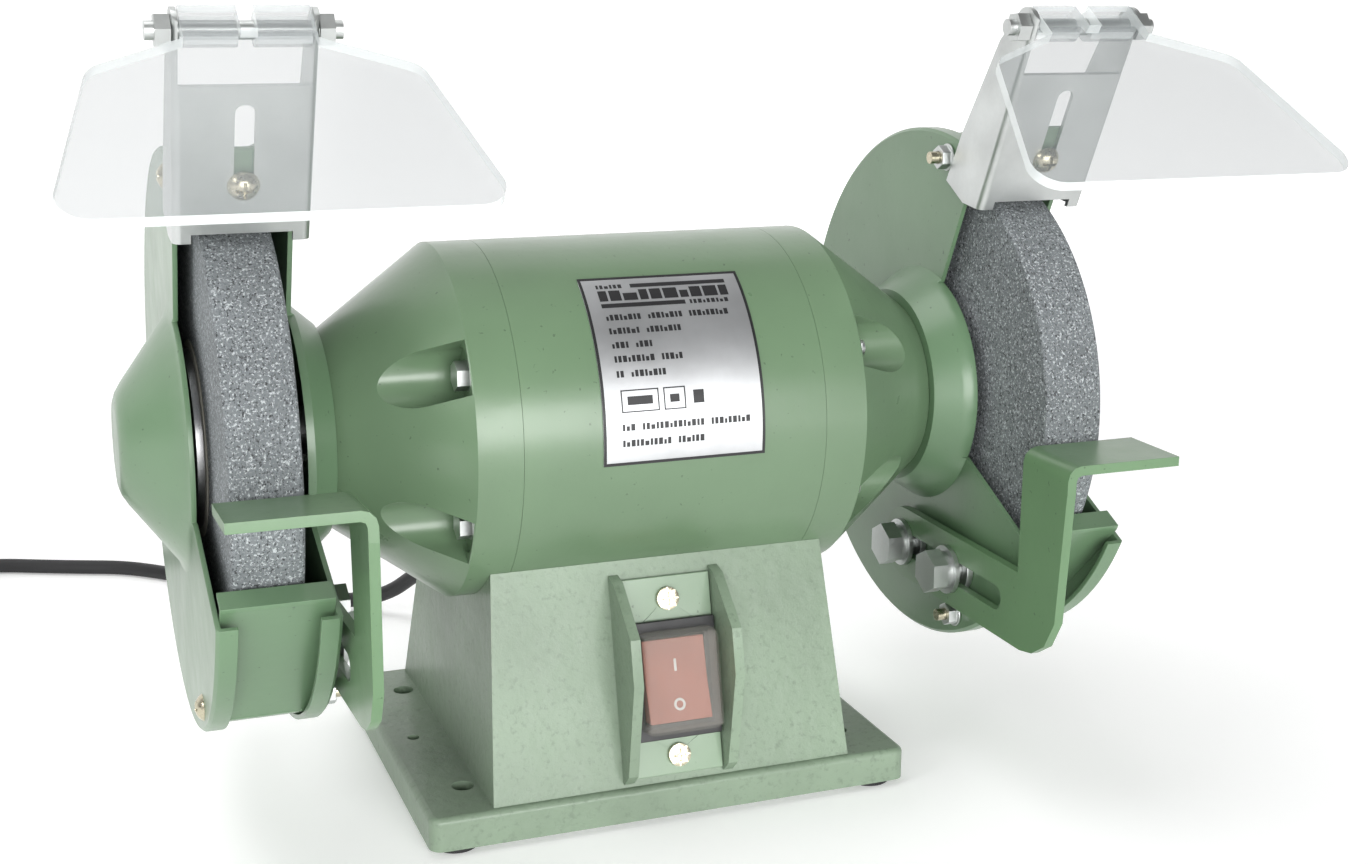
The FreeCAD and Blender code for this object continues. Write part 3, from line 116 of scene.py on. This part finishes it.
def make_cord():
    points = [Vector(point) * MM for point in ROUTE_TO_COIL + coil_points() + ROUTE_TO_PLUG]
    data = bpy.data.curves.new("power_lead", "CURVE")
    data.dimensions = "3D"
    line = data.splines.new("NURBS")
    line.points.add(len(points) - 1)
    for spot, point in zip(line.points, points):
        spot.co = (*point, 1.0)
        spot.radius = CORD_RADIUS
    line.order_u = 3
    line.use_endpoint_u = True
    line.resolution_u = 6
    data.bevel_depth = 1.0
    data.bevel_resolution = 6
    data.use_fill_caps = True
    lead = bpy.data.objects.new("power_lead", data)
    bpy.context.scene.collection.objects.link(lead)
    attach(lead, "frame")
    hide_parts("power_cord", "cord_coil")
    return lead


make_camera()
lead = make_cord()


# ---------------------------------------------------------------- materials
class Shader:
    """A Principled material with short names for the nodes that vary it over the surface."""

    def __init__(self, name, colour, roughness, metallic=0.0, **inputs):
        self.material = bpy.data.materials.new(name)
        self.material.use_nodes = True
        self.tree = self.material.node_tree
        self.surface = next(n for n in self.tree.nodes if n.type == "BSDF_PRINCIPLED")
        self.surface.inputs["Base Color"].default_value = (*colour, 1)
        self.surface.inputs["Roughness"].default_value = roughness
        self.surface.inputs["Metallic"].default_value = metallic
        for label, value in inputs.items():
            self.surface.inputs[label.replace("_", " ")].default_value = value
        self.place = self.tree.nodes.new("ShaderNodeTexCoord").outputs["Object"]
        self.last_bump = None

    def link(self, source, target):
        self.tree.links.new(source, target)

    def noise(self, scale, detail=3.0, roughness=0.5, stretch=None):
        node = self.tree.nodes.new("ShaderNodeTexNoise")
        node.inputs["Scale"].default_value = scale
        node.inputs["Detail"].default_value = detail
        node.inputs["Roughness"].default_value = roughness
        self.link(self.stretched(stretch), node.inputs["Vector"])
        return node.outputs["Fac"]

    def cells(self, scale, feature="F1", output="Distance", stretch=None):
        node = self.tree.nodes.new("ShaderNodeTexVoronoi")
        node.feature = feature
        node.inputs["Scale"].default_value = scale
        self.link(self.stretched(stretch), node.inputs["Vector"])
        return node.outputs[output]

    def stretched(self, stretch):
        if stretch is None:
            return self.place
        node = self.tree.nodes.new("ShaderNodeMapping")
        node.inputs["Scale"].default_value = stretch
        self.link(self.place, node.inputs["Vector"])
        return node.outputs["Vector"]

    def ramp(self, source, stops):
        """Colours or greys against a value: stops are (place, colour or grey)."""
        node = self.tree.nodes.new("ShaderNodeValToRGB")
        band = node.color_ramp
        while len(band.elements) < len(stops):
            band.elements.new(0.5)
        for element, (place, colour) in zip(band.elements, stops):
            element.position = place
            element.color = (*colour, 1) if isinstance(colour, tuple) else (colour, colour, colour, 1)
        self.link(source, node.inputs["Fac"])
        return node.outputs["Color"]

    def mix(self, share, first, second, blend="MIX"):
        node = self.tree.nodes.new("ShaderNodeMix")
        node.data_type = "RGBA"
        node.blend_type = blend
        for socket, value in ((node.inputs[0], share), (node.inputs[6], first), (node.inputs[7], second)):
            if isinstance(value, (int, float)) and socket is node.inputs[0]:
                socket.default_value = value
            elif isinstance(value, tuple):
                socket.default_value = (*value, 1)
            else:
                self.link(value, socket)
        return node.outputs[2]

    def colour(self, source):
        self.link(source, self.surface.inputs["Base Color"])
        return self

    def roughness(self, source, low, high):
        node = self.tree.nodes.new("ShaderNodeMapRange")
        node.inputs["To Min"].default_value = low
        node.inputs["To Max"].default_value = high
        self.link(source, node.inputs["Value"])
        self.link(node.outputs["Result"], self.surface.inputs["Roughness"])
        return self

    def glow_by_distance(self, near, far, dim, bright):
        """Glow that grows with the distance from the frame's origin."""
        distance = self.tree.nodes.new("ShaderNodeVectorMath")
        distance.operation = "LENGTH"
        self.link(self.place, distance.inputs[0])
        node = self.tree.nodes.new("ShaderNodeMapRange")
        node.inputs["From Min"].default_value = near
        node.inputs["From Max"].default_value = far
        node.inputs["To Min"].default_value = dim
        node.inputs["To Max"].default_value = bright
        self.link(distance.outputs["Value"], node.inputs["Value"])
        self.link(node.outputs["Result"], self.surface.inputs["Emission Strength"])

    def bump(self, source, height, strength=1.0):
        node = self.tree.nodes.new("ShaderNodeBump")
        node.inputs["Strength"].default_value = strength
        node.inputs["Distance"].default_value = height
        self.link(source, node.inputs["Height"])
        if self.last_bump is not None:
            self.link(self.last_bump, node.inputs["Normal"])
        self.last_bump = node.outputs["Normal"]
        self.link(self.last_bump, self.surface.inputs["Normal"])
        return self


def shade(colour, factor):
    return tuple(channel * factor for channel in colour)


def paint(name, colour, roughness, ripple=0.00004, spots=0.0):
    """Glossy paint on sheet or casting: slow drift of tone, orange peel, and a few dull specks."""
    made = Shader(name, colour, roughness, Coat_Weight=0.35, Coat_Roughness=0.22)
    drift = made.noise(14, 4)
    tone = made.ramp(drift, [(0.3, shade(colour, 0.88)), (0.7, shade(colour, 1.10))])
    specks = made.ramp(made.noise(520, 2), [(0.70 - spots, 0.0), (0.78 - spots, 1.0)])
    made.colour(made.mix(specks, tone, shade(colour, 0.55)))
    made.roughness(made.noise(60, 5), roughness * 0.75, roughness * 1.35)
    made.bump(made.noise(330, 2), ripple)
    return made.material


def cast_paint(name, colour):
    """Thick paint on rough cast iron: lumps with pits between them."""
    made = Shader(name, colour, 0.42, Coat_Weight=0.2, Coat_Roughness=0.2)
    lumps = made.cells(230, "SMOOTH_F1")
    tone = made.ramp(made.noise(22, 5), [(0.3, shade(colour, 0.86)), (0.7, shade(colour, 1.12))])
    pits = made.ramp(made.noise(520, 4, 0.6), [(0.30, 0.8), (0.45, 0.0)])
    made.colour(made.mix(pits, tone, shade(colour, 0.75)))
    made.roughness(made.noise(90, 4), 0.36, 0.6)
    made.bump(lumps, 0.0005, 0.45)
    made.bump(made.noise(480, 4, 0.65), 0.0004, 0.55)
    return made.material


def metal(name, colour, roughness, stretch=(1, 1, 1), streak=900.0):
    made = Shader(name, colour, roughness, metallic=1.0)
    grain = made.noise(streak, 3, 0.6, stretch)
    patches = made.noise(45, 4)
    made.colour(made.ramp(patches, [(0.3, shade(colour, 0.82)), (0.75, shade(colour, 1.08))]))
    made.roughness(grain, roughness * 0.7, roughness * 1.5)
    made.bump(grain, 0.00002, 0.5)
    return made.material


def grit(name):
    """Vitrified grain: blue-grey with light and dark specks and open pores."""
    base, light, dark = (0.150, 0.165, 0.172), (0.46, 0.49, 0.50), (0.030, 0.032, 0.034)
    made = Shader(name, base, 0.85)
    sparkle = made.ramp(made.noise(1300, 2, 0.7), [(0.54, 0.0), (0.66, 1.0)])
    pores = made.ramp(made.noise(1100, 3, 0.7, (1.3, 1, 1)), [(0.36, 1.0), (0.46, 0.0)])
    body = made.ramp(made.noise(40, 4), [(0.3, shade(base, 0.85)), (0.7, shade(base, 1.2))])
    made.colour(made.mix(pores, made.mix(sparkle, body, light), dark))
    made.bump(made.noise(800, 3, 0.7), 0.0006, 0.8)
    return made.material


def plastic(name, colour, roughness, height=0.00003):
    made = Shader(name, colour, roughness)
    made.colour(made.ramp(made.noise(40, 4), [(0.3, shade(colour, 0.85)), (0.7, shade(colour, 1.2))]))
    made.roughness(made.noise(150, 4), roughness * 0.8, roughness * 1.25)
    made.bump(made.noise(900, 3), height)
    return made.material


def clear(name, colour, alpha, roughness):
    """Clear sheet with faint wipe marks."""
    made = Shader(name, colour, roughness, IOR=1.49, Alpha=alpha)
    made.roughness(made.noise(30, 6, 0.6, (6, 1, 1)), roughness * 0.5, roughness * 2.5)
    made.bump(made.noise(9, 3), 0.0004, 0.25)
    return made.material


SLOTS = {
    "casting_green": cast_paint("casting_green", (0.200, 0.268, 0.190)),
    "motor_green": paint("motor_green", (0.125, 0.200, 0.115), 0.30),
    "guard_green": paint("guard_green", (0.115, 0.200, 0.110), 0.36),
    "rest_green": paint("rest_green", (0.105, 0.195, 0.095), 0.36),
    "plate_green": paint("plate_green", (0.215, 0.300, 0.205), 0.40),
    "yellow_zinc": metal("yellow_zinc", (0.55, 0.51, 0.38), 0.26),
    "abrasive": grit("abrasive"),
    "blotter_paper": plastic("blotter_paper", (0.30, 0.29, 0.25), 0.9),
    "zinc_steel": metal("zinc_steel", (0.60, 0.62, 0.61), 0.36),
    "shaft_steel": metal("shaft_steel", (0.52, 0.52, 0.53), 0.28, (1, 12, 12)),
    "lamination": metal("lamination", (0.30, 0.30, 0.32), 0.45, (12, 1, 1)),
    "copper": metal("copper", (0.60, 0.27, 0.13), 0.35, (1, 8, 8)),
    "brass": metal("brass", (0.68, 0.60, 0.42), 0.22),
    "bearing_steel": metal("bearing_steel", (0.70, 0.70, 0.71), 0.14),
    "black_plastic": plastic("black_plastic", (0.012, 0.012, 0.013), 0.42),
    "rocker_red": plastic("rocker_red", (0.47, 0.15, 0.10), 0.40),
    "clear_sheet": clear("clear_sheet", (0.30, 0.325, 0.33), 0.29, 0.10),
    "dust_cover": clear("dust_cover", (0.30, 0.29, 0.26), 0.22, 0.25),
    "rubber": plastic("rubber", (0.010, 0.010, 0.011), 0.5),
    "aluminium": metal("aluminium", (0.58, 0.59, 0.60), 0.42, (1, 14, 14)),
}
FINISH = {part["node"]: part["material_slot"] for part in frame["record"]["subparts"]}
CAST_NODES = {"base_pedestal": 1.4, "motor_shell": 0.4, "left_end_bell": 0.8, "right_end_bell": 0.8}
for name, thing in nodes.items():
    thing.data.materials.clear()
    thing.data.materials.append(SLOTS[FINISH[name]])
lead.data.materials.append(SLOTS["rubber"])


SHIELD_LEAN = 56
EDGE_FACE_LIMIT = 0.3


def paint_highlight_on_cut_edges():
    """The cut edges of a clear sheet gather light, so its narrow faces get a painted highlight: a brighter,
    more opaque sheet colour.
    """
    # Painted highlight: light colour (0.80, 0.84, 0.84) and higher alpha on the sheet's narrow edge faces.
    edge = clear("clear_edge_painted_highlight", (0.80, 0.84, 0.84), 0.62, 0.15)
    lean = math.radians(SHIELD_LEAN)
    across = Vector((0, math.cos(lean), -math.sin(lean)))
    for side in ("left", "right"):
        mesh = nodes[side + "_shield"].data
        mesh.materials.append(edge)
        for face in mesh.polygons:
            if abs(face.normal.dot(across)) < EDGE_FACE_LIMIT:
                face.material_index = 1


paint_highlight_on_cut_edges()


# ---------------------------------------------------------------- print
def solid_from(name, corner_sets, material, body):
    """One object made of small blocks, each given by its eight corners: four below, four above."""
    vertices, faces = [], []
    for corners in corner_sets:
        first = len(vertices)
        vertices += corners
        for ring in ((3, 2, 1, 0), (4, 5, 6, 7), (0, 1, 5, 4), (1, 2, 6, 5), (2, 3, 7, 6), (3, 0, 4, 7)):
            faces.append([first + corner for corner in ring])
    mesh = bpy.data.meshes.new(name)
    mesh.from_pydata(vertices, [], faces)
    mesh.materials.append(material)
    made = bpy.data.objects.new(name, mesh)
    bpy.context.scene.collection.objects.link(made)
    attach(made, body)
    return made


LABEL_LEFT, LABEL_WIDTH = -24.3, 52.0
LABEL_TOP, LABEL_RADIUS = 57.35, 56.65
LABEL_HEIGHT = 61.3
INK = 0.05
INK_ROOT = 0.02
STRIP_HEIGHT = 2.0


def label_block(left, top, width, height):
    """Blocks of ink on the curved label. Millimetres from its left edge and down from its top edge."""
    pieces = max(1, round(height / STRIP_HEIGHT))
    blocks = []
    for piece in range(pieces):
        corners = []
        for radius in (LABEL_RADIUS - INK_ROOT, LABEL_RADIUS + INK):
            for across, down in ((0, 1), (1, 1), (1, 0), (0, 0)):
                x = LABEL_LEFT + left + width * across
                fall = top + height * (piece + down) / pieces
                angle = math.radians(LABEL_TOP) - fall / LABEL_RADIUS
                corners.append(Vector((x, -radius * math.cos(angle), radius * math.sin(angle))) * MM
                               + Vector((0, 0, SHAFT_HEIGHT)))
        blocks.append(corners)
    return blocks


def word_row(top, height, words, left=7.0, stroke=1.0, gap=0.45):
    """A row of blocks in groups, standing for words without being lettering."""
    blocks, x = [], left
    for letters in words:
        for letter in range(letters):
            width = stroke * (0.75 + 0.25 * ((letter * 7 + letters * 3) % 3))
            drop = 0.3 * height if (letter * 5 + letters) % 4 == 0 else 0.0
            blocks += label_block(x, top + drop, width, height - drop)
            x += width + gap
        x += 2.2 * gap + stroke
    return blocks


def make_label_print():
    rim = 0.9
    blocks = (label_block(0, 0, LABEL_WIDTH, rim) + label_block(0, LABEL_HEIGHT - rim, LABEL_WIDTH, rim)
              + label_block(0, rim, rim, LABEL_HEIGHT - 2 * rim)
              + label_block(LABEL_WIDTH - rim, rim, rim, LABEL_HEIGHT - 2 * rim))
    blocks += label_block(16.0, 3.2, 31.0, 1.5) + label_block(5.0, 10.6, 27.0, 1.5)
    blocks += word_row(3.2, 1.5, [6], left=5.0, stroke=0.95, gap=0.5)
    blocks += word_row(5.6, 4.0, [10], left=5.0, stroke=3.6, gap=0.75)
    blocks += word_row(10.6, 1.5, [9], left=33.5, stroke=0.95, gap=0.5)
    rows = ((14.6, [8, 8, 9]), (19.2, [7, 8]), (23.8, [4, 4]), (28.2, [9, 5]), (32.8, [2, 8]))
    for top, words in rows:
        blocks += word_row(top, 2.0, words, left=5.5)
    for left, width in ((6.0, 12.0), (19.5, 7.0)):
        blocks += label_block(left, 38.6, width, 0.4) + label_block(left, 45.0, width, 0.4)
        blocks += label_block(left, 39.0, 0.4, 6.0) + label_block(left + width - 0.4, 39.0, 0.4, 6.0)
    blocks += label_block(8.0, 40.6, 8.0, 2.6) + label_block(21.5, 40.8, 3.0, 2.4)
    blocks += label_block(29.0, 40.0, 3.4, 4.0)
    blocks += word_row(48.8, 2.0, [3, 14, 9], left=6.0) + word_row(53.6, 2.0, [11, 6], left=6.0)
    solid_from("nameplate_print", blocks, SLOTS["black_plastic"], "frame")


FACE_LEAN = math.atan2(18.0, 73.4)
SWITCH_FOOT = (0.5, -56.5, 10.6)
ROCKER_CENTRE, ROCKER_LIFT = 32.4, 1.8
ROCKER_RIDGE, UPPER_SLOPE, LOWER_SLOPE = 3.2, 0.066, 0.186


def on_front(x, up, out):
    """Point on the pedestal's leaning front, from the switch's centre line at the base plate's top."""
    spot = Vector(SWITCH_FOOT) + Vector((x, 0, 0))
    along = Vector((0, math.sin(FACE_LEAN), math.cos(FACE_LEAN)))
    normal = Vector((0, -math.cos(FACE_LEAN), math.sin(FACE_LEAN)))
    return (spot + along * up + normal * out) * MM


def make_rocker_marks():
    """The on and off marks: a bar on the upper half and a ring on the lower half."""
    def top_of(up):
        return ROCKER_LIFT + ROCKER_RIDGE - (UPPER_SLOPE if up > 0 else LOWER_SLOPE) * up

    def block(points):
        return [on_front(x, ROCKER_CENTRE + up, top_of(up) + out)
                for out in (-0.05, 0.12) for x, up in points]

    blocks = [block([(-0.4, 2.6), (0.4, 2.6), (0.4, 6.4), (-0.4, 6.4)])]
    steps, middle, outer, inner = 20, -7.6, 1.9, 1.15
    for step in range(steps):
        first, last = 2 * math.pi * step / steps, 2 * math.pi * (step + 1) / steps
        corners = ((outer, first), (outer, last), (inner, last), (inner, first))
        blocks.append(block([(radius * math.cos(angle), middle + radius * math.sin(angle))
                             for radius, angle in corners]))
    white = plastic("mark_white", (0.85, 0.85, 0.82), 0.5)
    solid_from("rocker_marks", blocks, white, "rocker")


make_label_print()
make_rocker_marks()


# ---------------------------------------------------------------- edges
USUAL_EDGE = 0.3
WELD_REACH = 0.00002


def soften(thing, width_mm):
    """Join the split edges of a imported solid, round its sharp edges and weight its normals."""
    for face in thing.data.polygons:
        face.use_smooth = True
    weld = thing.modifiers.new("weld", "WELD")
    weld.merge_threshold = WELD_REACH
    bevel = thing.modifiers.new("bevel", "BEVEL")
    bevel.width = width_mm * MM
    bevel.segments = 2
    bevel.limit_method = "ANGLE"
    bevel.angle_limit = math.radians(34)
    bevel.miter_outer = "MITER_ARC"
    normals = thing.modifiers.new("normals", "WEIGHTED_NORMAL")
    normals.weight = 100
    normals.keep_sharp = False


for name, thing in nodes.items():
    soften(thing, CAST_NODES.get(name, USUAL_EDGE))


# ---------------------------------------------------------------- stage and light
def make_stage():
    """Seamless sheet: flat under the object, then curved up behind it."""
    paper = Shader("paper", (0.94, 0.94, 0.94), 0.8, Emission_Color=(1, 1, 1, 1))
    paper.glow_by_distance(near=0.5, far=1.5, dim=0.24, bright=0.62)
    level, front, bend_at, bend, half, top, steps = -0.0021, -3.2, 1.6, 1.4, 7.0, 6.0, 12
    profile = [(front, level), (bend_at, level)]
    for step in range(1, steps + 1):
        angle = math.pi / 2 * step / steps
        profile.append((bend_at + bend * math.sin(angle), level + bend * (1 - math.cos(angle))))
    profile.append((bend_at + bend, top))
    vertices = [(x, y, z) for y, z in profile for x in (-half, half)]
    faces = [(2 * i, 2 * i + 1, 2 * i + 3, 2 * i + 2) for i in range(len(profile) - 1)]
    mesh = bpy.data.meshes.new("paper")
    mesh.from_pydata(vertices, [], faces)
    mesh.materials.append(paper.material)
    for face in mesh.polygons:
        face.use_smooth = True
    sheet = bpy.data.objects.new("paper", mesh)
    bpy.context.scene.collection.objects.link(sheet)


def area_light(name, spot, aim, size, power, colour=(1, 1, 1)):
    data = bpy.data.lights.new(name, "AREA")
    data.shape = "RECTANGLE"
    data.size, data.size_y = size
    data.energy = power
    data.color = colour
    lamp = bpy.data.objects.new(name, data)
    lamp.location = spot
    lamp.rotation_euler = (Vector(aim) - Vector(spot)).to_track_quat("-Z", "Y").to_euler()
    bpy.context.scene.collection.objects.link(lamp)


def make_light():
    world = bpy.data.worlds.new("studio")
    bpy.context.scene.world = world
    world.use_nodes = True
    sky = world.node_tree.nodes["Background"]
    sky.inputs["Color"].default_value = (1.0, 1.0, 1.0, 1)
    sky.inputs["Strength"].default_value = 0.22
    area_light("above", (-0.4, 0.1, 1.5), (0, 0, 0.1), (1.0, 1.0), 9)
    area_light("front", (-0.15, -1.7, 0.34), (0, 0, 0.12), (1.6, 0.7), 33)
    area_light("left", (-1.4, -0.5, 0.8), (0, 0, 0.1), (0.5, 0.5), 5)


make_stage()
make_light()
bpy.context.scene.view_settings.view_transform = "Standard"
